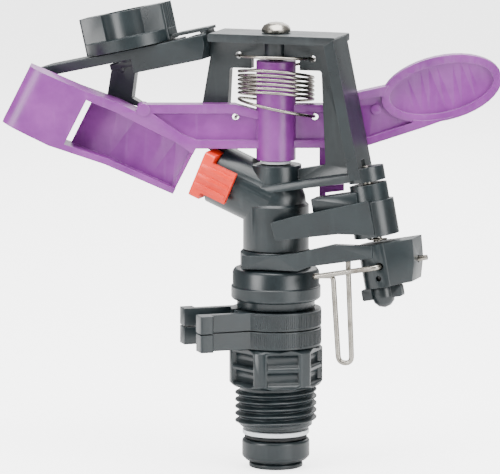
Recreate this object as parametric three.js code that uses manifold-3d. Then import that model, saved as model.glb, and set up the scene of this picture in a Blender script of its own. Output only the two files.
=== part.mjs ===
// Part-circle impact sprinkler with a G1/2 male inlet. Millimetres, +Z up.
// Origin: on the riser axis, at the lower face of the inlet hex. The nozzle throws towards -X.
import * as THREE from 'three';
import { mergeVertices } from 'three/addons/utils/BufferGeometryUtils.js';
import Module from 'manifold-3d';

const wasm = await Module();
wasm.setup();

// ---------------------------------------------------------------- driving sizes
const gap = 0.3; // clearance between pieces that touch
const degree = Math.PI / 180;
const round = 40; // facets of a full turn
const overrun = 2; // how far a cutting tool runs past the face it cuts

// Inlet stack, heights from the lower face of the hex
const thread = { radius: 10.48, depth: 1.15, pitch: 1.814, bottom: -9.8, turns: 5 };
const plainEnd = { radius: 8.7, bottom: -11.35 };
const hex = { acrossFlats: 22, corner: 12, height: 10.2, turn: -2.4, pocket: [8.4, 3.3, 1.1] };
const neck = { radius: 9 };
const stem = { radius: 6.3, bore: 4.6, lip: 6.9, lipHeight: 1.2, bottom: -21.4, top: 38 };
const cap = { radius: 8.67, height: 5.6 };
const rubberWasher = { radius: 8, height: 0.7 };
const slipWasher = { radius: 8.55, height: 1.1 };
const collar = { radius: 11.6, height: 4.5, slit: 1.6, aim: 216, earOffset: 6, earReach: 23, earStem: 2.2 };
const earBlock = { width: 4.4, length: 3.4 };
const neckTop = hex.height + 2 * (collar.height + gap);

// Everything above the neck is drawn for this height of its top, and rides up or down with it.
const drawnNeckTop = 19.8;
const bodyRise = neckTop - drawnNeckTop;
const sleeve = { skirt: 10, band: 11.47, bandBottom: 22.2, bandTop: 25.7, barrel: 11.1, top: 30.5, bore: 8.7 };
const frictionWasher = { height: 1 };

// Body: barrel, inclined water tube and bridge
const shank = { radius: 7.2, bottom: 27.5 };
const barrel = { radius: 8.43, bottom: 35.2, top: 46.5 };
const tube = { pitch: 23, offset: 43.4, radius: 7.75, end: 35, socket: 5.2, socketDepth: 9.6, water: 3.6, strut: 4.4 };
const web = 1.3; // half thickness of the bridge web
const flange = 2.1;
const boss = { radius: 6.5, bottom: 49.8, top: 56.8, topRadius: 2.9 };
const pin = { radius: 1.5, bottom: 53.4, head: 3.7, headHeight: 2.6 };
const bridgeTop = 90.5;
const springHole = { radius: 0.9, left: [-9.6, 84.6], right: [10.1, 84.3] };

// Impact arm, drawn in its own plane and turned about the riser axis
const arm = { turn: 18, hub: 5.05, bottom: 58.1, top: 83.4, half: 2.2, skin: 0.8 };
const armHole = { radius: 0.9, left: [-10.3, 69], right: [9.9, 69] };
const drive = { lean: 26.8, corner: [-26.3, 49.4], length: 47, slot: [28.8, 30.5], back: 8, wall: 1.5 };
const spoon = { centre: [42.1, 76.4], long: 15.6, short: 8.2, tilt: 13, half: 1.9, rim: 2.1, recess: 1.3, stub: [25.4, 70.9] };
const armSpring = { radius: 9.6, wire: 0.4, turns: 6, top: 80.2, bottom: 73.6, raise: 1.85 };

// Deflector, drawn along its strip
const strip = { slope: 12.8, origin: [-40, 84], left: -23.3, top: 0.9, bottom: -1.6, half: 7 };
const bar = { front: -7, back: -4, left: 3, bottom: -5.2 };
const clip = { left: 17.6, right: 23.2, back: 4.2 };
const nut = { along: 1.7, radius: 11.7, base: 3, height: 9.6, hub: 6.5, bore: 5.3, wing: 3.6 };
const blade = { front: -2.4, back: 0.4, stud: 8.4, rivet: [-41, 80.2], rivetRadius: 1.1 };

// Trip mechanism, drawn along its leaning hinge
const hinge = { x: 25.8, y: -4, z: 53, lean: 10.4, radius: 1.2, eye: 4.7, eyeBottom: 1.1, eyeTop: 4.7 };
const hammer = { radius: 5.8, top: 0.4, step: -4, upper: 4.8, bottom: -12.9, front: -6.8, back: -5 };
const toggle = { coil: 2.4, wire: 0.3, turns: 2, pocket: 3.1, pocketDepth: 3 };
const lever = { ring: 9.13, bottom: 30.8, top: 34.9, front: -9.9, back: -7.5 };
const block = { radius: 5.1, top: -14.7, bottom: -25.8, half: 4.2, wirePort: [30.3, 33.1] };
const wire = { radius: 0.65, front: -10.6, legs: -8.7, left: 13.3, legLeft: 18, legRight: 22,
  foot: 7.9, footLeft: 19.5, footRight: 23 };
const steelPin = { radius: 0.68, inner: 5, outer: 12.2, height: -20.2 };
const wingScrew = { along: -1, radius: 1.5, span: 5.3, top: -26.1, bottom: -29, dome: -31.4, domeRadius: 2.9 };

// ---------------------------------------------------------------- shared shaping
const dropAttributes = ['normal', 'uv'];

// A closed geometry as a solid that can be joined and cut.
function solid(geometry) {
  const bare = geometry.clone();
  dropAttributes.forEach((name) => bare.deleteAttribute(name));
  const welded = mergeVertices(bare, 1e-4);
  const corners = welded.index.array;
  const kept = [];
  for (let i = 0; i < corners.length; i += 3) {
    const [a, b, c] = corners.slice(i, i + 3);
    if (a !== b && b !== c && c !== a) {
      kept.push(a, b, c);
    }
  }
  const mesh = new wasm.Mesh({
    numProp: 3,
    vertProperties: Float32Array.from(welded.attributes.position.array),
    triVerts: Uint32Array.from(kept),
  });
  return new wasm.Manifold(mesh);
}

function joined(...pieces) {
  return pieces.reduce((whole, piece) => whole.add(piece));
}

function cut(body, ...tools) {
  return tools.reduce((whole, tool) => whole.subtract(tool), body);
}

// Outline through its corners; a third value on a corner rounds it over that length.
function outline(corners) {
  const shape = new THREE.Shape();
  const toward = (from, to, length) => {
    const span = Math.hypot(to[0] - from[0], to[1] - from[1]);
    return [0, 1].map((i) => from[i] + ((to[i] - from[i]) * length) / span);
  };
  corners.forEach((corner, i) => {
    const previous = corners[(i + corners.length - 1) % corners.length];
    const next = corners[(i + 1) % corners.length];
    const easing = corner[2] ?? 0;
    const start = toward(corner, previous, easing);
    if (i === 0) {
      shape.moveTo(...start);
    } else {
      shape.lineTo(...start);
    }
    if (easing > 0) {
      shape.quadraticCurveTo(corner[0], corner[1], ...toward(corner, next, easing));
    }
  });
  return shape;
}

function rectangle(x0, y0, x1, y1, easing = 0) {
  return [[x0, y0, easing], [x1, y0, easing], [x1, y1, easing], [x0, y1, easing]];
}

function ellipse(long, short, facets = round) {
  return Array.from({ length: facets }, (_, i) => {
    const turn = (i / facets) * 2 * Math.PI;
    return [long * Math.cos(turn), short * Math.sin(turn)];
  });
}

function raised(corners, bottom, top) {
  const geometry = new THREE.ExtrudeGeometry(outline(corners), {
    depth: top - bottom, bevelEnabled: false, curveSegments: 5,
  });
  return geometry.translate(0, 0, bottom);
}

// An outline drawn in the XZ plane, with its thickness along Y.
function slab(corners, front, back) {
  return raised(corners, -back, -front).rotateX(Math.PI / 2);
}

// A profile of [radius, height] pairs turned about Z.
function turned(profile, facets = round) {
  const points = profile.map(([radius, height]) => new THREE.Vector2(radius, height));
  if (THREE.ShapeUtils.area(points) < 0) {
    points.reverse();
  }
  return new THREE.LatheGeometry(points, facets).rotateX(Math.PI / 2);
}

function rod(radius, bottom, top, facets = round) {
  return turned([[0, bottom], [radius, bottom], [radius, top], [0, top]], facets);
}

function ring(inner, outer, bottom, top, facets = round) {
  return turned([[inner, bottom], [outer, bottom], [outer, top], [inner, top], [inner, bottom]], facets);
}

// A round bar along Y.
function crossRod(radius, x, z, front, back, facets = 20) {
  return rod(radius, -back, -front, facets).rotateX(Math.PI / 2).translate(x, 0, z);
}

// Moves a drawing into a frame whose first axis leans up from X by an angle in the XZ plane.
function leaning(geometry, x, y, z, angle) {
  return geometry.rotateY(-angle * degree).translate(x, y, z);
}

function drawnWire(curve, radius, steps, facets = 8) {
  const section = new THREE.Shape(ellipse(radius, radius, facets).map(([x, y]) => new THREE.Vector2(x, y)));
  return new THREE.ExtrudeGeometry(section, { steps, extrudePath: curve, bevelEnabled: false });
}

class Winding extends THREE.Curve {
  constructor(place) {
    super();
    this.place = place;
  }

  getPoint(t, target = new THREE.Vector3()) {
    return target.set(...this.place(t));
  }
}

// A wire bent at each inner point over the given tangent length, or over the point's own fourth value.
function bentPath(points, easing) {
  const path = new THREE.CurvePath();
  let from = new THREE.Vector3(...points[0]);
  for (let i = 1; i < points.length - 1; i += 1) {
    const corner = new THREE.Vector3(...points[i].slice(0, 3));
    const next = new THREE.Vector3(...points[i + 1].slice(0, 3));
    const reach = points[i][3] ?? easing;
    const start = corner.clone().lerp(from, reach / corner.distanceTo(from));
    const end = corner.clone().lerp(next, reach / corner.distanceTo(next));
    path.add(new THREE.LineCurve3(from, start));
    path.add(new THREE.QuadraticBezierCurve3(start, corner, end));
    from = end;
  }
  path.add(new THREE.LineCurve3(from, new THREE.Vector3(...points[points.length - 1])));
  return path;
}

const looks = {
  blackPlastic: [0x3d4446, 0.5, 0],
  purplePlastic: [0x9a6db0, 0.45, 0],
  orangePlastic: [0xe4522c, 0.45, 0],
  whitePlastic: [0xe4e8ea, 0.4, 0],
  blackRubber: [0x1d1f20, 0.8, 0],
  steel: [0xc9c6bf, 0.3, 1],
};

const sprinkler = new THREE.Group();
sprinkler.name = 'impact_sprinkler';

function place(name, body, look, lift = bodyRise) {
  const { vertProperties, triVerts } = body.translate([0, 0, lift]).getMesh();
  const geometry = new THREE.BufferGeometry();
  geometry.setAttribute('position', new THREE.BufferAttribute(Float32Array.from(vertProperties), 3));
  geometry.setIndex(Array.from(triVerts));
  geometry.computeVertexNormals();
  const [color, roughness, metalness] = looks[look];
  const mesh = new THREE.Mesh(geometry, new THREE.MeshStandardMaterial({ color, roughness, metalness }));
  mesh.name = name;
  sprinkler.add(mesh);
}

// ---------------------------------------------------------------- inlet nipple
function threadProfile() {
  const crests = [];
  for (let i = 0; i < thread.turns; i += 1) {
    const foot = thread.bottom + i * thread.pitch;
    crests.push([thread.radius - thread.depth, foot]);
    crests.push([thread.radius, foot + thread.pitch * 0.42]);
    crests.push([thread.radius, foot + thread.pitch * 0.58]);
  }
  const top = thread.bottom + thread.turns * thread.pitch;
  crests.push([thread.radius - thread.depth, top]);
  crests.push([thread.radius - thread.depth, hex.height / 2]);
  return crests;
}

function hexPockets() {
  const [width, height, depth] = hex.pocket;
  const rows = [0.28, 0.72];
  const pockets = [];
  for (let side = 0; side < 6; side += 1) {
    for (const row of rows) {
      const middle = hex.height * row;
      const face = hex.acrossFlats / 2;
      const box = slab(rectangle(-width / 2, middle - height / 2, width / 2, middle + height / 2, 0.4),
        -face - overrun, -face + depth);
      pockets.push(solid(box.rotateZ((hex.turn + 60 * side + 90) * degree)));
    }
  }
  return pockets;
}

function inletNipple() {
  const flat = hex.acrossFlats / 2 / Math.cos(30 * degree);
  const prism = raised(ellipse(flat, flat, 6), 0, hex.height).rotateZ((hex.turn + 30) * degree);
  const easing = 0.8;
  const shoulder = turned([[0, 0], [hex.corner - easing, 0], [hex.corner, easing],
    [hex.corner, hex.height - easing], [hex.corner - easing, hex.height], [0, hex.height]]);
  const head = cut(solid(prism).intersect(solid(shoulder)), ...hexPockets());
  const spigot = turned([[0, plainEnd.bottom], [plainEnd.radius - 0.4, plainEnd.bottom],
    [plainEnd.radius, plainEnd.bottom + 0.4], [plainEnd.radius, thread.bottom],
    ...threadProfile(), [0, hex.height / 2]]);
  const bore = rod(stem.radius + gap, plainEnd.bottom - overrun, neckTop + overrun);
  const body = joined(solid(spigot), head, solid(rod(neck.radius, hex.height / 2, neckTop)));
  place('inlet_nipple', cut(body, solid(bore)), 'blackPlastic', 0);
}

// ---------------------------------------------------------------- friction collars that stop the turn
function stopCollar(name, bottom) {
  const top = bottom + collar.height;
  const inner = neck.radius + gap;
  const aimed = (geometry) => solid(geometry.rotateZ(collar.aim * degree));
  const hoop = aimed(ring(inner, collar.radius, bottom, top));
  const slit = aimed(raised(
    rectangle(inner - overrun, -collar.slit / 2, collar.radius + overrun, collar.slit / 2),
    bottom - overrun, top + overrun,
  ));
  const ears = [-1, 1].map((side) => {
    const across = side * collar.earOffset;
    const half = collar.earStem / 2;
    const root = Math.sqrt(inner ** 2 - collar.earOffset ** 2) + 1;
    const stalk = rectangle(root, across - half, collar.earReach, across + half);
    const middle = across + (side * (earBlock.width - collar.earStem)) / 2;
    const pad = rectangle(collar.earReach - earBlock.length, middle - earBlock.width / 2,
      collar.earReach, middle + earBlock.width / 2, 0.6);
    return joined(aimed(raised(stalk, bottom, top)), aimed(raised(pad, bottom, top)));
  });
  place(name, cut(joined(hoop, ...ears), slit), 'blackPlastic', 0);
}

// ---------------------------------------------------------------- stem, thrust washers and cap under the nipple
function thrustStack() {
  const inner = stem.radius + gap;
  const slipTop = plainEnd.bottom - gap;
  const slipBottom = slipTop - slipWasher.height;
  place('slip_washer', solid(ring(inner, slipWasher.radius, slipBottom, slipTop)), 'whitePlastic', 0);
  const rubberTop = slipBottom - gap;
  const rubberBottom = rubberTop - rubberWasher.height;
  place('rubber_washer', solid(ring(inner, rubberWasher.radius, rubberBottom, rubberTop)), 'blackRubber', 0);
  const capTop = rubberBottom - gap;
  const capBottom = capTop - cap.height;
  const ease = 1.1;
  const capProfile = [[inner, capBottom], [cap.radius - ease, capBottom], [cap.radius, capBottom + ease],
    [cap.radius, capTop - 0.4], [cap.radius - 0.4, capTop], [inner, capTop], [inner, capBottom]];
  place('retaining_cap', solid(turned(capProfile)), 'blackPlastic', 0);
  const lipTop = Math.min(stem.bottom + stem.lipHeight, capBottom - gap);
  const stemTop = stem.top + bodyRise;
  const stemProfile = [[stem.bore, stem.bottom], [stem.lip, stem.bottom], [stem.lip, lipTop],
    [stem.radius, lipTop], [stem.radius, stemTop], [stem.bore, stemTop], [stem.bore, stem.bottom]];
  place('stem_tube', solid(turned(stemProfile)), 'blackPlastic', 0);
}

// ---------------------------------------------------------------- bearing spring under its dust sleeve
function bearing() {
  const bottom = drawnNeckTop + gap;
  const roof = 1.7;
  const neckHole = shank.radius + gap;
  const ease = 1.2;
  const profile = [[sleeve.bore, bottom], [sleeve.skirt, bottom], [sleeve.skirt, sleeve.bandBottom],
    [sleeve.band - 0.5, sleeve.bandBottom], [sleeve.band, sleeve.bandBottom + 0.5],
    [sleeve.band, sleeve.bandTop], [sleeve.barrel, sleeve.bandTop],
    [sleeve.barrel, sleeve.top - ease], [sleeve.barrel - 0.5, sleeve.top - ease / 3],
    [sleeve.barrel - 2, sleeve.top], [neckHole, sleeve.top], [neckHole, sleeve.top - roof],
    [sleeve.bore, sleeve.top - roof], [sleeve.bore, bottom]];
  place('dust_sleeve', solid(turned(profile)), 'blackPlastic');
  const washerTop = shank.bottom - gap;
  const washerBottom = washerTop - frictionWasher.height;
  const inner = stem.radius + gap;
  place('friction_washer', solid(ring(inner, sleeve.bore - gap, washerBottom, washerTop)), 'blackRubber');
  const wireRadius = 0.42;
  const low = bottom + wireRadius;
  const high = washerBottom - gap - wireRadius;
  const mean = (inner + sleeve.bore) / 2;
  const turns = 3.5;
  const coil = new Winding((t) => {
    const turn = t * turns * 2 * Math.PI;
    return [mean * Math.cos(turn), mean * Math.sin(turn), low + (high - low) * t];
  });
  place('bearing_spring', solid(drawnWire(coil, wireRadius, 63, 6)), 'steel');
}

// ---------------------------------------------------------------- body: barrel, water tube and bridge
// A drawing along Z laid on the axis of the inclined tube, with X across it in the bridge plane.
function alongTube(geometry) {
  const pitch = tube.pitch * degree;
  const along = new THREE.Vector3(-Math.cos(pitch), 0, Math.sin(pitch));
  const across = new THREE.Vector3(Math.sin(pitch), 0, Math.cos(pitch));
  const basis = new THREE.Matrix4().makeBasis(across, new THREE.Vector3(0, 1, 0), along);
  return geometry.applyMatrix4(basis).translate(across.x * tube.offset, 0, across.z * tube.offset);
}

function onHinge(geometry, along = 0) {
  return leaning(geometry.translate(along, 0, 0), hinge.x, hinge.y, hinge.z, hinge.lean);
}

const elbow = tube.offset / Math.cos(tube.pitch * degree);

function bridgePlate() {
  const outer = [[-16.1, bridgeTop - 1], [-17.3, 83.4], [-19.4, 71.5], [-20.7, 61.6], [-12, 57.2], [-10, 52],
    [0, boss.bottom], [24, 54.3], [22.6, 57], [15.8, bridgeTop - 1]];
  const opening = [[-12, 81.3, 0.8], [-12.5, 71.8], [-12.9, 61], [-4.2, 57], [4.4, 55.6], [13.6, 57.3, 0.8],
    [12.5, 81.3, 0.8], [6.7, 81.3], [6.7, 83.8], [-6.3, 83.8], [-6.3, 81.3]];
  return cut(solid(slab(outer, -web, web)), solid(slab(opening, -web - overrun, web + overrun)));
}

function bridgeFlanges() {
  const top = slab(rectangle(-16.1, bridgeTop - flange, 17.7, bridgeTop, 0.5), -7, 6);
  const right = slab([[15.4, 88.6], [22.3, 54.6], [25.2, 55], [17.9, bridgeTop - 0.3]], -9, 2.7);
  const base = slab([[-2, 49.9], [26.5, 54.6], [26, 56.5], [-2, 51.8]], -7, 2.7);
  return joined(solid(top), solid(right), solid(base));
}

// The tab on the corner of the bridge that the deflector bracket clips over.
const tab = { left: -21.6, bottom: 84.2, top: 88.4 };

function bridgeBody() {
  const profile = [[0, shank.bottom], [shank.radius, shank.bottom], [shank.radius, barrel.bottom],
    [barrel.radius, barrel.bottom], [barrel.radius, barrel.top], [barrel.radius - 0.9, barrel.top + 0.8],
    [boss.radius, barrel.top + 0.8], [boss.radius, boss.top], [0, boss.top]];
  const spout = alongTube(rod(tube.radius, elbow * Math.sin(tube.pitch * degree), tube.end));
  const knuckle = new THREE.SphereGeometry(tube.radius, 24, 14).translate(0, 0, elbow);
  const eye = onHinge(rod(hinge.eye, hinge.eyeBottom, hinge.eyeTop, 32));
  const crown = rod(boss.topRadius, 83.8, bridgeTop - 1, 24);
  const corner = slab(rectangle(tab.left, tab.bottom, -15, tab.top), -web, web);
  const whole = joined(solid(turned(profile)), solid(spout), solid(knuckle), bridgePlate(),
    bridgeFlanges(), solid(eye), solid(crown), solid(corner));
  const bores = [
    rod(stem.radius + gap, shank.bottom - overrun, stem.top + gap),
    rod(stem.bore, stem.top, elbow),
    alongTube(rod(tube.water, elbow * Math.sin(tube.pitch * degree), tube.end)),
    alongTube(rod(tube.socket, tube.end - tube.socketDepth, tube.end + overrun)),
    rod(pin.radius + gap, pin.bottom - gap, bridgeTop + overrun, 24),
    rod(arm.hub + 1, boss.top, boss.top + 5),
    onHinge(rod(hinge.radius + gap, -overrun, hinge.eyeTop + overrun, 20)),
    crossRod(springHole.radius, ...springHole.left, -web - overrun, web + overrun, 14),
    crossRod(springHole.radius, ...springHole.right, -web - overrun, web + overrun, 14),
  ];
  place('bridge_body', cut(whole, ...bores.map(solid)), 'blackPlastic');
}

// ---------------------------------------------------------------- nozzle and its seal
function nozzleParts() {
  const inTube = (geometry) => solid(alongTube(geometry));
  const seat = tube.end - tube.socketDepth;
  const plug = tube.socket - gap;
  const seal = { bottom: seat + gap, top: seat + gap + 0.9 };
  place('nozzle_seal', inTube(ring(tube.water, plug, seal.bottom, seal.top)), 'blackRubber');
  const root = seal.top + gap;
  const face = { bottom: tube.end + gap, top: 38.2, across: 6.1, wide: 9.6, orifice: 2.4 };
  const sunk = 1; // how far one solid runs into the next
  const cheek = tube.radius + gap;
  const rib = { spacing: 2.6, half: 0.5, height: 0.5 };
  const wings = [-1, 1].map((side) => {
    const [low, high] = [side * cheek, side * face.wide].sort((a, b) => a - b);
    const grip = raised(rectangle(-4.2, low, 4.2, high), 28.5, face.bottom + sunk);
    const ribs = [-1, 0, 1].map((step) => {
      const [inside, outside] = [side * (face.wide - 0.2), side * (face.wide + rib.height)].sort((a, b) => a - b);
      const across = step * rib.spacing;
      return inTube(raised(rectangle(across - rib.half, inside, across + rib.half, outside), 29, face.top - 0.4));
    });
    return joined(inTube(grip), ...ribs);
  });
  const plate = raised(rectangle(-face.across, -face.wide, face.across, face.wide, 1.2), face.bottom, face.top);
  const throat = turned([[0, root - overrun], [tube.water, root - overrun], [tube.water, root + 1],
    [face.orifice, face.bottom], [face.orifice, face.top + overrun], [0, face.top + overrun]]);
  const body = joined(inTube(rod(plug, root, face.bottom + sunk)), inTube(plate), ...wings);
  // The flange straddles the strut that carries the bridge over the tube.
  const straddle = raised(rectangle(tube.strut - gap, -web - gap, 9, web + gap), face.bottom - overrun, 40);
  place('nozzle', cut(body, inTube(throat), inTube(straddle)), 'orangePlastic');
}

// ---------------------------------------------------------------- arm pin and washer
function armPin() {
  const seat = bridgeTop + gap;
  const top = seat + pin.headHeight;
  const profile = [[0, pin.bottom], [pin.radius, pin.bottom], [pin.radius, seat], [pin.head, seat],
    [pin.head, seat + 0.7], [pin.head * 0.86, seat + 1.6], [pin.head * 0.5, top - 0.3], [0, top]];
  place('arm_pin', solid(turned(profile, 32)), 'steel');
  const washer = ring(pin.radius + gap, arm.hub - 1.2, boss.top + gap, arm.bottom - gap, 32);
  place('arm_washer', solid(washer), 'whitePlastic');
}

// ---------------------------------------------------------------- impact arm
const onArm = (geometry) => solid(geometry.rotateZ(arm.turn * degree));

// Directions of the drive box: along it towards its tip, up across its height, and its depth.
const boxAlong = new THREE.Vector3(-Math.cos(drive.lean * degree), 0, Math.sin(drive.lean * degree));
const boxUp = new THREE.Vector3(Math.sin(drive.lean * degree), 0, Math.cos(drive.lean * degree));
const boxDepth = new THREE.Vector3(0, 1, 0);

// A drawing of the box side, X along and Y up, thickened from front to back.
function boxSide(corners, front, back) {
  const basis = new THREE.Matrix4().makeBasis(boxAlong, boxUp, boxDepth);
  const geometry = raised(corners, front, back).applyMatrix4(basis);
  return onArm(geometry.translate(drive.corner[0], 0, drive.corner[1]));
}

// A drawing of the box plan, X along and Y its depth, standing the whole height of the box.
function boxPlan(corners) {
  const basis = new THREE.Matrix4().makeBasis(boxAlong, boxDepth, boxUp.clone().negate());
  const geometry = raised(corners, -20, 8).applyMatrix4(basis);
  return onArm(geometry.translate(drive.corner[0], 0, drive.corner[1]));
}

function driveBox() {
  const side = [[0, 0], [18.8, -1], [34, -3.2], [drive.length, -3.3], [drive.length, 12.6],
    [33.2, 13.4], [22.2, 14.7], [5.3, 14.6], [0, 13.1]];
  const channel = [[-overrun, 1.6], [18.8, 0.6], [34, -1.6], [drive.length + overrun, -1.7],
    [drive.length + overrun, 11.2], [33.2, 11.4], [22.2, 12.2], [5.3, 12.2], [-overrun, 11.2]];
  const front = -arm.half;
  const [slotRight, slotLeft] = drive.slot;
  const tip = drive.length;
  const { back, wall } = drive;
  const plan = [[-overrun, front], [36, front], [tip + 1, front, 7], [tip + 1, back], [-overrun, back]];
  const nearWall = [[slotLeft, front], [36, front], [tip + 1, front, 7], [tip + 1, back - 2],
    [tip - wall, back - 2], [tip - wall, front + wall, 6], [slotLeft, front + wall]];
  const farWall = [[-overrun, 0.6], [12, 1.4, 5], [slotRight, 6], [slotRight, 6 + wall],
    [12, 1.4 + wall, 5], [-overrun, 0.6 + wall]];
  const endLip = [[0, -0.5], [0.9, -0.5], [0.9, 1.2], [0, 1.2]];
  const walls = joined(boxPlan(nearWall), boxPlan(farWall), boxPlan(endLip));
  const shell = boxSide(side, front, back).intersect(boxPlan(plan));
  const hollow = boxSide(channel, front - overrun, back + overrun).subtract(walls);
  return shell.subtract(hollow);
}

// Sinks an outline into both faces of the arm, down to its thin web.
function sunkPanels(corners) {
  return [
    onArm(slab(corners, -arm.half - overrun, -arm.skin)),
    onArm(slab(corners, arm.skin, arm.half + overrun)),
  ];
}

function armTruss() {
  const outer = [[-33.8, 72.4], [-10.5, 72.4], [-4.3, 70.6], [0, 70.6], [0, 61.05], [-20.6, 61.05],
    [-24.5, 62.4], [-35.2, 68.4]];
  const inner = [[-31.4, 70.1], [-10.9, 70.1], [-4.6, 68.6], [-4.6, 63.2], [-20.2, 63.2], [-24.2, 64.9]];
  const rail = cut(onArm(slab(outer, -arm.half, arm.half)), ...sunkPanels(inner));
  return joined(rail, onArm(crossRod(1.7, -33.8, 70.95, -2.6, 2.6)));
}

function spoonSide() {
  const [x, z] = spoon.centre;
  const pad = (inset, front, back) => onArm(leaning(
    slab(ellipse(spoon.long - inset, spoon.short - inset), front, back), x, 0, z, spoon.tilt,
  ));
  const outer = [[0, 61.2], [13, 61.2], [23.8, 62], [37.9, 66.6], [45, 69.2], [44, 76], [29.5, 77.4],
    [21, 75.5], [12, 72.3], [0, 72.3]];
  const recess = [[14.6, 63.2, 0.6], [23.4, 63.9, 0.6], [35.6, 68, 1.5], [27.6, 74.6, 1.5], [21.4, 73.6, 0.6],
    [14.6, 71.4, 0.6]];
  const nearHub = [[4.4, 63.2], [13.2, 63.2], [13.2, 70.5], [4.4, 70.5]];
  const stalk = cut(onArm(slab(outer, -arm.half, arm.half)), ...sunkPanels(recess), ...sunkPanels(nearHub));
  const dish = cut(pad(0, -spoon.half, spoon.half), pad(spoon.rim, -spoon.half - overrun, spoon.recess - spoon.half));
  const stub = onArm(crossRod(1.3, ...spoon.stub, -arm.skin - 0.4, arm.skin + 0.4));
  return joined(stalk.subtract(pad(0.6, -arm.half - overrun, arm.half + overrun)), dish, stub);
}

function impactArm() {
  const finger = slab([[11.1, 47.8], [12.7, 47.8], [12.7, 62.6], [11.1, 62.6]], 0.4, 3.4);
  const foot = slab([[11.1, 49.2], [17.4, 49.9], [17.4, 51.6], [11.1, 51]], 0.4, 3.4);
  const hub = rod(arm.hub, arm.bottom, arm.top, 40);
  const body = joined(onArm(hub), armTruss(), spoonSide(), driveBox(), onArm(finger), onArm(foot));
  const bores = [
    rod(pin.radius + gap, arm.bottom - overrun, arm.top + overrun, 24),
    crossRod(armHole.radius, ...armHole.left, -arm.half - overrun, arm.half + overrun, 14),
    crossRod(armHole.radius, ...armHole.right, -arm.half - overrun, arm.half + overrun, 14),
  ];
  place('impact_arm', cut(body, ...bores.map(onArm)), 'purplePlastic');
}

// ---------------------------------------------------------------- arm return spring
// Starts behind the left bridge hole, crosses in front, winds down round the hub and ends in the arm.
function armReturnSpring() {
  const { radius, turns, top, bottom, raise } = armSpring;
  const [leftX, leftZ] = springHole.left;
  const [rightX, rightZ] = springHole.right;
  const [holeX, holeZ] = armHole.right;
  const points = [];
  const add = (turn, reach, height, tilt) => {
    const angle = turn * degree;
    points.push(new THREE.Vector3(reach * Math.cos(angle), reach * Math.sin(angle),
      height - raise * tilt * Math.sin(angle)));
  };
  const step = 15;
  add(168, -leftX, leftZ, 0);
  for (let turn = 180; turn <= 360; turn += step) {
    const share = (turn - 180) / 180;
    add(turn, (rightX + leftX) * share - leftX, leftZ + (rightZ - leftZ) * share, 0.4);
  }
  for (let turn = 360 + step; turn < 540; turn += step) {
    const share = (turn - 360) / 180;
    add(turn, rightX + (radius - rightX) * share, rightZ + (top - rightZ) * share, 0.4 + 0.6 * share);
  }
  const end = 540 + turns * 360;
  for (let turn = 540; turn <= end; turn += step) {
    add(turn, radius, top + ((bottom - top) * (turn - 540)) / (end - 540), 1);
  }
  const sweep = 180 + arm.turn;
  for (let turn = step; turn <= sweep; turn += step) {
    const share = turn / sweep;
    add(end + turn, radius + (holeX - radius) * share, bottom + (holeZ - bottom) * share, 1 - share);
  }
  const behind = 180;
  for (let turn = step; turn <= behind; turn += step) {
    add(end + sweep + turn, holeX + (0.4 * turn) / behind, holeZ, 0);
  }
  const [tipX, tipZ] = armHole.left;
  const tip = new THREE.Vector3(tipX, -3.2, tipZ).applyAxisAngle(new THREE.Vector3(0, 0, 1), arm.turn * degree);
  points.push(tip);
  const path = new THREE.CatmullRomCurve3(points, false, 'centripetal');
  place('arm_spring', solid(drawnWire(path, armSpring.wire, 190, 6)), 'steel');
}

// ---------------------------------------------------------------- deflector bracket, blade and thumb nut
const onStrip = (geometry) => solid(leaning(geometry, strip.origin[0], 0, strip.origin[1], strip.slope));

function deflectorBracket() {
  const plate = slab(rectangle(strip.left, strip.bottom, 14, strip.top), -strip.half, strip.half);
  const beam = slab(rectangle(bar.left, bar.bottom, clip.right, strip.top), bar.front, bar.back);
  const housing = slab(rectangle(clip.left, bar.bottom, clip.right, strip.top), bar.front + 0.5, clip.back);
  const tongueBottom = strip.top + 0.8;
  const tongue = slab(rectangle(14, tongueBottom, clip.right + 0.6, tongueBottom + 0.8), -3.5, 3.5);
  const riser = slab(rectangle(clip.right - 1.6, strip.top - 0.5, clip.right, tongueBottom + 0.4), -3.5, 3.5);
  const stud = rod(nut.bore, bar.bottom - overrun, strip.top + overrun).translate(nut.along, 0, 0);
  const mouth = slab(rectangle(tab.left - gap, tab.bottom - gap, -10, tab.top + gap), -web - gap, web + gap);
  const edge = [[-19.4, 71.5], [-17.3, 83.4], [-16.1, bridgeTop], [-10, bridgeTop + 3], [-10, 71.5]];
  const corner = slab(edge.map(([x, z]) => [x - gap, z]), -10, 10);
  const body = joined(onStrip(plate), onStrip(beam), onStrip(housing), onStrip(tongue), onStrip(riser));
  place('deflector_bracket', cut(body, onStrip(stud), solid(mouth), solid(corner)), 'blackPlastic');
}

function deflectorBlade() {
  const reach = nut.bore - gap;
  const stud = rod(reach, strip.bottom - gap - 0.2, blade.stud).translate(nut.along, 0, 0);
  const seat = slab(rectangle(-4.2, -3.4, nut.along + reach, strip.bottom - gap), bar.back + gap, 3);
  const leg = slab([[-43.3, 81.4], [-44.8, 72.7], [-36.4, 70.5], [-36.1, 71.6], [-38.1, 72.7], [-36.9, 81.4]],
    blade.front, blade.back);
  const rivet = crossRod(blade.rivetRadius, ...blade.rivet, blade.front - 0.3, blade.back);
  place('deflector_blade', joined(onStrip(stud), onStrip(seat), solid(leg), solid(rivet)), 'blackPlastic');
}

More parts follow.
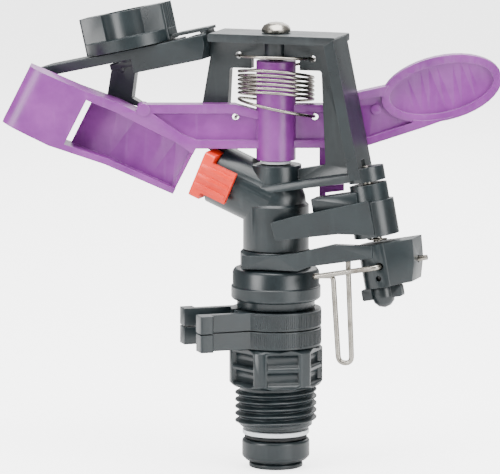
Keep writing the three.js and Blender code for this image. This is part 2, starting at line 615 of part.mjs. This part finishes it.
function thumbNut() {
  const onAxis = (geometry) => onStrip(geometry.translate(nut.along, 0, 0));
  const bottom = strip.top + gap;
  const top = bottom + nut.height;
  const base = rod(nut.radius, bottom, bottom + nut.base);
  const hub = rod(nut.hub, bottom, top);
  const wings = raised(rectangle(-nut.radius, -nut.wing, nut.radius, nut.wing, 0.8), bottom, top);
  const body = joined(onAxis(base), onAxis(hub), onAxis(wings));
  const bore = onAxis(rod(nut.bore, bottom - overrun, top + overrun));
  const notches = [];
  for (let i = -2; i <= 2; i += 1) {
    for (const end of [-nut.radius, nut.radius]) {
      notches.push(onAxis(rod(0.45, bottom + nut.base, top + overrun, 8).translate(end, i * 1.3, 0)));
    }
  }
  place('thumb_nut', cut(body, bore, ...notches), 'blackPlastic');
}

// ---------------------------------------------------------------- trip hammer and its hinge
function tripHammer() {
  const upper = onHinge(rod(hammer.upper, hammer.step - 1, hammer.top, 32));
  const lower = onHinge(rod(hammer.radius, hammer.bottom, hammer.step, 32));
  const plateShape = [[-24.8, -10], [-25.2, -5.3, 0.5], [-18.7, -4.6], [1.5, -3.4], [1.5, -12.2], [-8, -10.6]];
  const plate = onHinge(slab(plateShape, hammer.front, hammer.back));
  const catchBlock = onHinge(slab(rectangle(-14.2, -5.2, -2, -1), -4.8, 1));
  const bore = onHinge(rod(hinge.radius + gap, hammer.bottom - overrun, hammer.top + overrun, 20));
  const body = joined(...[upper, lower, plate, catchBlock].map(solid));
  const pocketTop = hammer.bottom + toggle.pocketDepth;
  const pocket = onHinge(rod(toggle.pocket, hammer.bottom - overrun, pocketTop, 28));
  place('trip_hammer', cut(body, solid(bore), solid(pocket)), 'blackPlastic');
  const pinTop = hinge.eyeTop + 0.3;
  const springEnd = block.top + gap;
  place('hinge_pin', solid(onHinge(rod(hinge.radius, springEnd, pinTop, 20))), 'steel');
  const coilTop = pocketTop - gap - toggle.wire;
  const coilBottom = block.top + gap + toggle.wire;
  const coil = new Winding((t) => {
    const turn = t * toggle.turns * 2 * Math.PI;
    return [toggle.coil * Math.cos(turn), toggle.coil * Math.sin(turn), coilTop + (coilBottom - coilTop) * t];
  });
  place('toggle_spring', solid(onHinge(drawnWire(coil, toggle.wire, 40, 6))), 'steel');
}

// ---------------------------------------------------------------- trip lever, wire, pin and wing screw
function tripLever() {
  const inner = shank.radius + gap;
  const hoop = turned([[inner, lever.bottom], [lever.ring, lever.bottom], [lever.ring, lever.top - 0.6],
    [lever.ring - 0.6, lever.top], [inner, lever.top], [inner, lever.bottom]]);
  const barShape = [[-6, 34.3], [-6, lever.bottom + 0.1], [8.9, lever.bottom + 0.2], [12.5, 32.4], [28.6, 35.2],
    [28.6, 38.3], [18.2, 38.2], [8.9, 35.7], [3, 34.7]];
  const arc = onHinge(rod(block.radius, block.bottom, block.top, 32), -0.2);
  const slabShape = [[-2, block.bottom], [8.4, block.bottom + 0.4], [9.9, steelPin.height], [10.4, block.top],
    [-2, block.top]];
  const blockSlab = onHinge(slab(slabShape, -block.half, block.half));
  const [portX, portZ] = block.wirePort;
  const body = joined(solid(hoop), solid(slab(barShape, lever.front, lever.back)), solid(arc), solid(blockSlab));
  const dimple = { radius: 0.75, across: -0.2, below: 3.1, reach: 6.6 };
  const face = hinge.y - block.radius;
  const bores = [
    crossRod(dimple.radius, portX + dimple.across, portZ - dimple.below, face - overrun, hinge.y + 3.2 - dimple.reach, 14),
    crossRod(wire.radius + gap, portX, portZ, hinge.y - block.radius - overrun, hinge.y - 3.2, 14),
    rod(wire.radius + gap, 33, 36.4, 14).translate(wire.legRight, wire.legs, 0),
    onHinge(alongX(rod(steelPin.radius + gap, steelPin.inner - gap, steelPin.outer, 14), steelPin.height)),
    onHinge(rod(wingScrew.radius + gap, block.bottom - overrun, block.bottom + 6.3, 16), wingScrew.along),
  ];
  place('trip_lever', cut(body, ...bores.map(solid)), 'blackPlastic');
}

// A rod drawn along Z laid along the X of the hinge frame, at a height.
function alongX(geometry, height) {
  return geometry.rotateY(Math.PI / 2).translate(0, 0, height);
}

function tripWire() {
  const [portX, portZ] = block.wirePort;
  const low = 29.9;
  const path = bentPath([
    [portX, hinge.y - 3.6, portZ], [portX, wire.front, portZ], [wire.left, wire.front, low],
    [wire.left, wire.legs, low], [wire.legLeft, wire.legs, low + 0.2], [wire.footLeft, wire.legs, wire.foot, 1.6],
    [wire.footRight, wire.legs, wire.foot, 1.6], [wire.legRight, wire.legs, 32, 1.6], [wire.legRight, wire.legs, 36],
  ], 0.85);
  place('trip_wire', solid(drawnWire(path, wire.radius, 100, 8)), 'steel');
  place('toggle_pin', solid(onHinge(alongX(rod(steelPin.radius, steelPin.inner, steelPin.outer, 16),
    steelPin.height))), 'steel');
}

function wingScrewPart() {
  const local = (geometry) => solid(onHinge(geometry, wingScrew.along));
  const shaft = rod(wingScrew.radius, wingScrew.bottom, block.bottom + 6, 16);
  const wings = slab(rectangle(-wingScrew.span, wingScrew.bottom, wingScrew.span, wingScrew.top, 0.5), -1.3, 1.3);
  const r = wingScrew.domeRadius;
  const knob = turned([[0, wingScrew.dome], [r * 0.55, wingScrew.dome + 0.5], [r * 0.9, wingScrew.dome + 1.6],
    [r, wingScrew.bottom + 0.4], [r, wingScrew.top], [0, wingScrew.top]], 28);
  place('wing_screw', joined(local(shaft), local(wings), local(knob)), 'blackPlastic');
}

// ---------------------------------------------------------------- assembly, from the inlet up
inletNipple();
thrustStack();
stopCollar('stop_collar_lower', hex.height + gap);
stopCollar('stop_collar_upper', hex.height + 2 * gap + collar.height);
bearing();
bridgeBody();
nozzleParts();
armPin();
impactArm();
armReturnSpring();
deflectorBracket();
deflectorBlade();
thumbNut();
tripHammer();
tripLever();
tripWire();
wingScrewPart();

export default sprinkler;
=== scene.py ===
"""Part-circle impact sprinkler: moulded body and bridge, purple impact arm, orange nozzle and trip gear."""

import bmesh
import bpy
from math import pi, radians
from mathutils import Matrix, Vector


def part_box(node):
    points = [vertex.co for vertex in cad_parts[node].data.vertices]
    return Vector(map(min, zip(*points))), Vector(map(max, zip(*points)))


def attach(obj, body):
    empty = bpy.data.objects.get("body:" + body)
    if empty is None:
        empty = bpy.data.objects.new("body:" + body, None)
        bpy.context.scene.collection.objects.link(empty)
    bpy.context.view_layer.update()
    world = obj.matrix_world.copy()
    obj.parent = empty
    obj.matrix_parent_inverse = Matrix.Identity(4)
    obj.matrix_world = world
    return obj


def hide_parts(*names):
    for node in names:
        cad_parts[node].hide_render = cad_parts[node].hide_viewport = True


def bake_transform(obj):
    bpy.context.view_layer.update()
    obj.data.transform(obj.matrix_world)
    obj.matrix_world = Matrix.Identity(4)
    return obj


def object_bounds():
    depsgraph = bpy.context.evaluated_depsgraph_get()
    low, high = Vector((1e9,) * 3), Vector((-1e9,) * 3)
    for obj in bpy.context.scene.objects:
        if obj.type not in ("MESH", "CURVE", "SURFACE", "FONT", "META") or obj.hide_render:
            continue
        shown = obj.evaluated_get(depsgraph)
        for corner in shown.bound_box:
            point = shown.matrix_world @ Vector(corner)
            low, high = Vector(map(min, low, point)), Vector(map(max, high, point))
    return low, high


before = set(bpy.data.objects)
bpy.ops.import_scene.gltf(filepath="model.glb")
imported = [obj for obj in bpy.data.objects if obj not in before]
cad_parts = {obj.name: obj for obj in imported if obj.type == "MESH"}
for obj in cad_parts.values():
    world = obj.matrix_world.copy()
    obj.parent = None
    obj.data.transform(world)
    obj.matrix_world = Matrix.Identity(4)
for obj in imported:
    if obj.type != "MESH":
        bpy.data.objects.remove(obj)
cad_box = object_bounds()
MM = 0.001

# ---------------------------------------------------------------- stage
# The sprinkler stands on the lip of its stem on a plain pale floor in an even pale surround, under a
# large soft box, with a broad light on the left, a weaker one on the right and one behind. The floor
# glows to the camera only, so its glow lights nothing.
floor_glow = 3.0
floor_radius = 3.0
floor_drop = 0.2 * MM  # below the lowest point of the solids
lowest = cad_box[0][2]
pale = bpy.data.materials.new("pale_floor")
pale.use_nodes = True
paint = pale.node_tree.nodes["Principled BSDF"]
paint.inputs["Base Color"].default_value = (0.88, 0.88, 0.88, 1)
paint.inputs["Roughness"].default_value = 0.9
paint.inputs["Emission Color"].default_value = (1, 1, 1, 1)
seen = pale.node_tree.nodes.new("ShaderNodeLightPath")
glow = pale.node_tree.nodes.new("ShaderNodeMath")
glow.operation = "MULTIPLY"
glow.inputs[1].default_value = floor_glow
pale.node_tree.links.new(seen.outputs["Is Camera Ray"], glow.inputs[0])
pale.node_tree.links.new(glow.outputs[0], paint.inputs["Emission Strength"])
ground = bmesh.new()
bmesh.ops.create_circle(ground, cap_ends=True, segments=96, radius=floor_radius)
bmesh.ops.translate(ground, verts=ground.verts, vec=(0, 0, lowest - floor_drop))
floor_mesh = bpy.data.meshes.new("floor")
ground.to_mesh(floor_mesh)
ground.free()
floor_mesh.materials.append(pale)
floor = bpy.data.objects.new("floor", floor_mesh)
bpy.context.collection.objects.link(floor)

world = bpy.data.worlds.new("pale_surround")
world.use_nodes = True
world.node_tree.nodes["Background"].inputs["Color"].default_value = (1.0, 1.0, 1.0, 1)
world.node_tree.nodes["Background"].inputs["Strength"].default_value = 0.5
bpy.context.scene.world = world

target = Vector((-6.31, -2.05, 38.0)) * MM
for name, spot, size, power in (  # place in mm, side in m, power in W
    ("soft_box_above", (40, -60, 600), 0.55, 11.0),
    ("soft_box_left", (-380, -520, 260), 0.3, 4.0),
    ("soft_box_right", (520, -300, 140), 0.3, 2.6),
    ("soft_box_behind", (-60, 520, 420), 0.5, 3.0),
):
    lamp = bpy.data.lights.new(name, "AREA")
    lamp.size = size
    lamp.energy = power
    bulb = bpy.data.objects.new(name, lamp)
    bulb.location = Vector(spot) * MM
    bulb.rotation_euler = (target - bulb.location).to_track_quat("-Z", "Y").to_euler()
    bpy.context.collection.objects.link(bulb)

lens = bpy.data.cameras.new("camera")
lens.lens = 403
lens.sensor_width = 36
lens.clip_start = 0.05
camera = bpy.data.objects.new("camera", lens)
camera.location = Vector((430.98, -1347.9, 249.5)) * MM
camera.rotation_euler = (target - camera.location).to_track_quat("-Z", "Y").to_euler()
bpy.context.collection.objects.link(camera)
bpy.context.scene.camera = camera


# ---------------------------------------------------------------- body, bridge and bearing
# The barrel, inclined water tube and bridge are one injection moulding in black acetal; the stem, cap
# and dust sleeve are moulded in the same grade. Edges are lightly rounded by the mould, the faces carry
# a fine spark-eroded grain, and handling leaves pale scuffs on the corners.
class Feed:
    """A shader socket that can be added, multiplied and passed on like a number."""

    def __init__(self, tree, socket):
        self.tree = tree
        self.socket = socket

    def node(self, kind, settings, values, output=0):
        made = self.tree.nodes.new(kind)
        for setting, value in settings.items():
            if setting == "stops":
                first, last = made.color_ramp.elements
                first.position, first.color = value[0][0], (*[value[0][1]] * 3, 1)
                last.position, last.color = value[1][0], (*[value[1][1]] * 3, 1)
            else:
                setattr(made, setting, value)
        for name, value in values.items():
            if isinstance(value, Feed):
                self.tree.links.new(value.socket, made.inputs[name])
            else:
                made.inputs[name].default_value = value
        return Feed(self.tree, made.outputs[output])

    def maths(self, operation, first, second):
        return self.node("ShaderNodeMath", {"operation": operation}, {0: first, 1: second})

    def __add__(self, other):
        return self.maths("ADD", self, other)

    def __radd__(self, other):
        return self.maths("ADD", other, self)

    def __sub__(self, other):
        return self.maths("SUBTRACT", self, other)

    def __rsub__(self, other):
        return self.maths("SUBTRACT", other, self)

    def __mul__(self, other):
        return self.maths("MULTIPLY", self, other)

    def __rmul__(self, other):
        return self.maths("MULTIPLY", other, self)


def new_finish(name):
    finish = bpy.data.materials.new(name)
    finish.use_nodes = True
    tree = finish.node_tree
    spot = Feed(tree, tree.nodes.new("ShaderNodeTexCoord").outputs["Object"])
    return finish, tree.nodes["Principled BSDF"], spot


def mottle(spot, scale, detail=2.0, rough=0.5):
    sizes = {"Vector": spot, "Scale": scale, "Detail": detail, "Roughness": rough}
    return spot.node("ShaderNodeTexNoise", {}, sizes)


def between(mask, low, high):
    return mask.node("ShaderNodeValToRGB", {"stops": ((low, 0.0), (high, 1.0))}, {"Fac": mask})


def blend_colours(mask, first, second):
    pick = {"data_type": "RGBA", "clamp_factor": True}
    return mask.node("ShaderNodeMix", pick, {0: mask, 6: first, 7: second}, output=2)


def send(feed, socket):
    feed.tree.links.new(feed.socket, socket)


def tint(red, green, blue):
    def linear(value):
        value /= 255
        return value / 12.92 if value < 0.04045 else ((value + 0.055) / 1.055) ** 2.4

    return (linear(red), linear(green), linear(blue), 1.0)


def moulded(name, colour, deep, scuffed, roughness, grain, specular=0.5):
    """Moulded plastic or rubber: mottled colour, eroded grain, pale handling marks, dust on top faces."""
    finish, shader, spot = new_finish(name)
    cloud = between(mottle(spot, 95.0, 4.0, 0.6), 0.3, 0.72)
    drawn_out = {"Vector": spot, "Rotation": (0.3, 0.5, 0.2), "Scale": (1, 1, 0.18)}
    flow = mottle(spot.node("ShaderNodeMapping", {}, drawn_out), 420.0)
    surface = spot.tree.nodes.new("ShaderNodeNewGeometry")
    flat = Feed(spot.tree, surface.outputs["Normal"])
    eased = spot.node("ShaderNodeBevel", {"samples": 4}, {"Radius": 0.22 * MM})
    facing = flat.node("ShaderNodeVectorMath", {"operation": "DOT_PRODUCT"}, {0: flat, 1: eased}, output=1)
    edge = between(1 - facing, 0.03, 0.22)
    chafed = edge * between(mottle(spot, 330.0, 5.0, 0.7), 0.42, 0.66)
    upward = flat.node("ShaderNodeSeparateXYZ", {}, {0: flat}, output=2)
    dust = between(upward, 0.55, 1.0) * between(mottle(spot, 180.0, 6.0, 0.65), 0.4, 0.7)
    base = blend_colours(cloud, deep, colour)
    marks = chafed * 0.55 + dust * 0.16 + between(flow, 0.58, 0.75) * 0.07
    base = blend_colours(marks, base, scuffed)
    send(base, shader.inputs["Base Color"])
    speck = mottle(spot, 3400.0, 3.0, 0.6)
    dulled = roughness + (cloud - 0.5) * 0.1 + dust * 0.12 + (speck - 0.5) * 0.12
    send(dulled, shader.inputs["Roughness"])
    relief = speck * 0.7 + mottle(spot, 900.0, 3.0) * 0.6 + flow * 0.5
    depth = {"Height": relief, "Strength": grain, "Distance": 0.03 * MM, "Normal": eased}
    send(relief.node("ShaderNodeBump", {}, depth), shader.inputs["Normal"])
    shader.inputs["Specular IOR Level"].default_value = specular
    return finish


def smoothed(mesh, angle=32):
    mesh.polygons.foreach_set("use_smooth", [True] * len(mesh.polygons))
    mesh.set_sharp_from_angle(angle=radians(angle))


weld = 0.002 * MM


def merged_copy(node):
    """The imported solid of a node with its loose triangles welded."""
    bm = bmesh.new()
    bm.from_mesh(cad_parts[node].data)
    bmesh.ops.remove_doubles(bm, verts=bm.verts, dist=weld)
    bmesh.ops.dissolve_degenerate(bm, edges=bm.edges, dist=weld)
    return bm


def piece(name, bm, body, finish, nodes=(), angle=32):
    mesh = bpy.data.meshes.new(name)
    bm.to_mesh(mesh)
    bm.free()
    smoothed(mesh, angle)
    mesh.materials.append(finish)
    made = bpy.data.objects.new(name, mesh)
    bpy.context.collection.objects.link(made)
    if body:
        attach(made, body)
    if nodes:
        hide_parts(*nodes)
    return made


def whole_faces(bm):
    """Joins the triangles of each flat face, then splits what has more than four corners."""
    bmesh.ops.dissolve_limit(bm, angle_limit=radians(0.6), verts=bm.verts, edges=bm.edges)
    bmesh.ops.triangulate(bm, faces=[face for face in bm.faces if len(face.verts) > 4])


def eased_copy(node, body, finish, easing=0.25):
    """A moulding as it leaves the tool: its solid with every sharp edge rounded over."""
    bm = merged_copy(node)
    whole_faces(bm)
    made = piece(node + "_moulding", bm, body, finish, (node,))
    rounding = made.modifiers.new("rounded edges", "BEVEL")
    rounding.width = easing * MM
    rounding.segments = 2
    rounding.limit_method = "ANGLE"
    rounding.angle_limit = radians(34)
    rounding.use_clamp_overlap = True


black = moulded("black_moulding", tint(19, 30, 33), tint(11, 19, 22), tint(84, 95, 98), 0.33, 0.32)
eased_copy("bridge_body", "turret", black)
for node in ("retaining_cap", "stem_tube"):
    eased_copy(node, "turret", black)
eased_copy("dust_sleeve", "inlet", black)

# ---------------------------------------------------------------- stop collars
# The two stop collars are split hoops that grip the neck by friction. Each is squeezed open by its
# pair of ears, and fine upright ribs moulded round the hoop let wet fingers turn it.
collar_radius = 11.6 * MM
rib_rise = 0.09 * MM
rib_size = (0.6 * MM, 0.24 * MM)
rib_edge = 0.06 * MM
rib_short = 0.8 * MM  # what a rib leaves free of the hoop's height
rib_first = -100  # degrees round the axis
rib_arc = 250
rib_step = 2.6
turn_about_riser = {"cent": (0, 0, 0), "axis": (0, 0, 1)}
for node, body in (("stop_collar_lower", "lower_stop"), ("stop_collar_upper", "upper_stop")):
    low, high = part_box(node)
    eased_copy(node, body, black)
    grip = bmesh.new()
    bmesh.ops.create_cube(grip, size=1.0)
    bmesh.ops.scale(grip, verts=grip.verts, vec=(*rib_size, high.z - low.z - rib_short))
    bmesh.ops.bevel(grip, geom=grip.edges[:], offset=rib_edge, affect="EDGES", segments=1,
                    profile=0.5, material=-1)
    seat = collar_radius + rib_rise - rib_size[0] / 2
    bmesh.ops.translate(grip, verts=grip.verts, vec=(seat, 0, (low.z + high.z) / 2))
    first_turn = Matrix.Rotation(radians(rib_first), 3, "Z")
    bmesh.ops.rotate(grip, verts=grip.verts, cent=(0, 0, 0), matrix=first_turn)
    bmesh.ops.spin(grip, geom=grip.verts[:] + grip.edges[:] + grip.faces[:], **turn_about_riser,
                   angle=radians(rib_arc), steps=round(rib_arc / rib_step), use_duplicate=True)
    piece(node + "_grip_ribs", grip, body, black)

# ---------------------------------------------------------------- threaded inlet
# The inlet nipple is one black moulding: a 22 mm hex with sunk pockets over a G1/2 male thread that
# runs out in a plain end. The thread is a real right-hand helix, unscrewed from its mould.
crest = 10.48 * MM
root = 9.33 * MM
pitch = 1.814 * MM
core_foot = -10.9 * MM
ridge_foot = -10.7 * MM
thread_turns = 5.1
thread_start = 120  # degrees round the axis, at the back
steps_a_turn = 64
plain_radius = 8.7 * MM
plain_foot = -11.35 * MM
chamfer = 0.4 * MM
run_out = 0.5 * MM
ridge_sunk = 0.1 * MM
ridge_round = 0.12 * MM
nipple_bore = 6.62 * MM
core_top = 0.5 * MM  # inside the hex
cut_height = -0.4 * MM
nipple = merged_copy("inlet_nipple")
everything = nipple.verts[:] + nipple.edges[:] + nipple.faces[:]
bmesh.ops.bisect_plane(nipple, geom=everything, dist=1e-7, plane_co=(0, 0, cut_height),
                       plane_no=(0, 0, 1), clear_inner=True)
whole_faces(nipple)
bmesh.ops.bridge_loops(nipple, edges=[edge for edge in nipple.edges if edge.is_boundary])
core_profile = (
    (nipple_bore, core_top), (nipple_bore, plain_foot), (plain_radius - chamfer, plain_foot),
    (plain_radius, plain_foot + chamfer), (plain_radius, core_foot), (root, core_foot + run_out),
    (root, core_top))
core = [nipple.verts.new((radius, 0, height)) for radius, height in core_profile]
core_edges = [nipple.edges.new(pair) for pair in zip(core, core[1:] + core[:1])]
bmesh.ops.spin(nipple, geom=core + core_edges, **turn_about_riser, angle=2 * pi, steps=80,
               use_merge=True, use_duplicate=False)
ridge_profile = (  # radius, and height as a share of the pitch
    (root - ridge_sunk, 0.0), (crest - ridge_round, 0.36), (crest, 0.43), (crest, 0.53),
    (crest - ridge_round, 0.6), (root - ridge_sunk, 0.96))
ridge = [nipple.verts.new((radius, 0, ridge_foot + share * pitch)) for radius, share in ridge_profile]
ridge_end = nipple.faces.new(ridge)
thread_turn = Matrix.Rotation(radians(thread_start), 3, "Z")
bmesh.ops.rotate(nipple, verts=ridge, cent=(0, 0, 0), matrix=thread_turn)
bmesh.ops.spin(nipple, geom=[ridge_end], **turn_about_riser, angle=2 * pi * thread_turns,
               steps=round(steps_a_turn * thread_turns), dvec=(0, 0, pitch / steps_a_turn),
               use_duplicate=False)
bmesh.ops.recalc_face_normals(nipple, faces=nipple.faces)
piece("threaded_inlet", nipple, "inlet", black, ("inlet_nipple",), 35)

# ---------------------------------------------------------------- thrust washers under the nipple
# A slippery white acetal washer and a soft black rubber one carry the thrust of the water between
# the nipple and the retaining cap, so that the body turns slowly and without leaking.
white = moulded("white_moulding", tint(224, 227, 229), tint(206, 210, 214),
                tint(190, 190, 188), 0.36, 0.12)
rubber = moulded("soft_rubber", tint(36, 37, 38), tint(26, 27, 28), tint(80, 80, 80), 0.72, 0.4, 0.3)
eased_copy("slip_washer", "inlet", white, 0.12)
eased_copy("arm_washer", "turret", white, 0.12)
eased_copy("rubber_washer", "turret", rubber, 0.12)
eased_copy("friction_washer", "turret", rubber, 0.1)
eased_copy("nozzle_seal", "turret", rubber, 0.1)

# ---------------------------------------------------------------- nozzle
# The nozzle is a bright orange acetal plug pushed and turned into the mouth of the water tube; its
# rectangular flange carries ribbed finger grips and the throat narrows to the orifice.
orange = moulded("orange_moulding", tint(234, 48, 6), tint(206, 30, 3), tint(244, 120, 80), 0.34, 0.14)
eased_copy("nozzle", "turret", orange, 0.2)

# ---------------------------------------------------------------- impact arm
# The swinging arm is one purple moulding: a hub on the bridge pin, a flanged rail out to the curved
# drive box that the jet strikes, and a spoon-shaped counterweight with sunk panels.
purple = moulded("purple_moulding", tint(128, 52, 136), tint(100, 32, 110), tint(186, 140, 196), 0.36, 0.22)
eased_copy("impact_arm", "arm", purple, 0.3)

# ---------------------------------------------------------------- springs, wire and pins
# All metal parts are drawn stainless steel: the long arm spring hooked between bridge and arm, the
# bearing and toggle springs, the bent trip wire, and the headed arm pin. Drawing leaves fine lines.
steel, steel_shader, along = new_finish("drawn_steel")
stretched = along.node("ShaderNodeMapping", {}, {"Vector": along, "Scale": (1, 1, 0.12)})
lines = mottle(stretched, 5200.0, 3.0)
stain = between(mottle(along, 240.0, 5.0, 0.6), 0.45, 0.75)
send(blend_colours(stain, tint(150, 146, 138), tint(92, 86, 78)), steel_shader.inputs["Base Color"])
send(0.2 + stain * 0.16 + lines * 0.1, steel_shader.inputs["Roughness"])
score = {"Height": lines, "Strength": 0.15, "Distance": 0.01 * MM}
send(lines.node("ShaderNodeBump", {}, score), steel_shader.inputs["Normal"])
steel_shader.inputs["Metallic"].default_value = 1.0


def round_wire(node, body, radius):
    """Wire from its faceted solid: the triangles are paired, swelled a little and subdivided round."""
    bm = merged_copy(node)
    bmesh.ops.join_triangles(bm, faces=bm.faces, angle_face_threshold=radians(40),
                             angle_shape_threshold=radians(40))
    bm.normal_update()
    swelling = 0.14  # what the subdivision takes off a six-sided wire, as a share of its radius
    for corner in bm.verts:
        corner.co += corner.normal * radius * swelling * MM
    made = piece(node + "_wire", bm, body, steel, (node,), 80)
    rounding = made.modifiers.new("round", "SUBSURF")
    rounding.levels = rounding.render_levels = 1 if node == "arm_spring" else 2
    return made


# The arm spring is fast in the bridge at its top and in the arm at its foot, so its coils wind up between.
arm_spring = round_wire("arm_spring", None, 0.4)
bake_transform(arm_spring)
round_wire("bearing_spring", "inlet", 0.42)
round_wire("toggle_spring", "hammer", 0.3)
round_wire("trip_wire", "trip", 0.65)
eased_copy("arm_pin", "turret", steel, 0.15)
eased_copy("hinge_pin", "turret", steel, 0.12)
eased_copy("toggle_pin", "trip", steel, 0.12)

# ---------------------------------------------------------------- deflector
# The deflector clips on the corner of the bridge: a bracket, a threaded blade that dips into the jet
# and a knurled thumb nut that lowers it. All three are black mouldings.
eased_copy("deflector_bracket", "turret", black, 0.22)
eased_copy("deflector_blade", "blade", black, 0.2)
eased_copy("thumb_nut", "nut", black, 0.3)

# ---------------------------------------------------------------- trip mechanism
# The hammer that stops the arm swings on the leaning hinge; the lever below carries the wire that
# meets the stops, and a wing screw sets its toggle. Black mouldings on steel pins.
eased_copy("trip_hammer", "hammer", black, 0.25)
eased_copy("trip_lever", "trip", black, 0.25)
eased_copy("wing_screw", "screw", black, 0.25)
